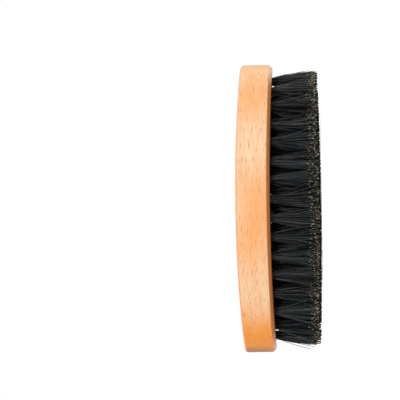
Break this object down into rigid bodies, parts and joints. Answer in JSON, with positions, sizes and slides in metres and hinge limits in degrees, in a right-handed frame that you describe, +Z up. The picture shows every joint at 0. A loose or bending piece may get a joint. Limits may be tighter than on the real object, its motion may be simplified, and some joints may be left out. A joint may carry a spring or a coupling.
{
  "type": "beard brush",
  "caption": "Oval palm brush for beards: a flat, gently arched beech block with dense dark bristle bundles set in rings.",
  "frame": {"origin": "on the surface the brush rests on, at the trimmed bristle tips, below the middle of the block", "axes": "+X along the block's length, +Y across its width, +Z up from the bristle tips to the wooden back"},
  "size_m": [0.118, 0.058, 0.035],
  "materials": {
    "beech": "satin lacquered beech",
    "bristle": "black bristle with paler tips",
    "anchor_steel": "flat wire, hidden in the holes"
  },
  "bodies": {
    "root": {"anchor_03": "anchor_steel", "anchor_04": "anchor_steel", "anchor_05": "anchor_steel", "anchor_06": "anchor_steel", "anchor_07": "anchor_steel", "anchor_08": "anchor_steel", "anchor_09": "anchor_steel", "anchor_10": "anchor_steel", "anchor_11": "anchor_steel", "anchor_12": "anchor_steel", "anchor_13": "anchor_steel", "anchor_14": "anchor_steel", "anchor_19": "anchor_steel", "anchor_20": "anchor_steel", "anchor_21": "anchor_steel", "anchor_22": "anchor_steel", "anchor_23": "anchor_steel", "anchor_24": "anchor_steel", "anchor_25": "anchor_steel", "anchor_26": "anchor_steel", "anchor_27": "anchor_steel", "anchor_28": "anchor_steel", "anchor_29": "anchor_steel", "anchor_30": "anchor_steel", "bristle_centre_row": "bristle", "bristle_ring_2": "bristle", "bristle_ring_3": "bristle", "tuft_outer_01": "bristle", "tuft_outer_02": "bristle", "tuft_outer_03": "bristle", "tuft_outer_04": "bristle", "tuft_outer_05": "bristle", "tuft_outer_06": "bristle", "tuft_outer_07": "bristle", "tuft_outer_08": "bristle", "tuft_outer_09": "bristle", "tuft_outer_10": "bristle", "tuft_outer_11": "bristle", "tuft_outer_12": "bristle", "tuft_outer_13": "bristle", "tuft_outer_14": "bristle", "tuft_outer_15": "bristle", "tuft_outer_16": "bristle", "tuft_outer_17": "bristle", "tuft_outer_18": "bristle", "tuft_outer_19": "bristle", "tuft_outer_20": "bristle", "tuft_outer_21": "bristle", "tuft_outer_22": "bristle", "tuft_outer_23": "bristle", "tuft_outer_24": "bristle", "tuft_outer_25": "bristle", "tuft_outer_26": "bristle", "tuft_outer_27": "bristle", "tuft_outer_28": "bristle", "tuft_outer_29": "bristle", "tuft_outer_30": "bristle", "tuft_outer_31": "bristle", "tuft_outer_32": "bristle", "wood_body": "beech"}
  },
  "joints": []
}
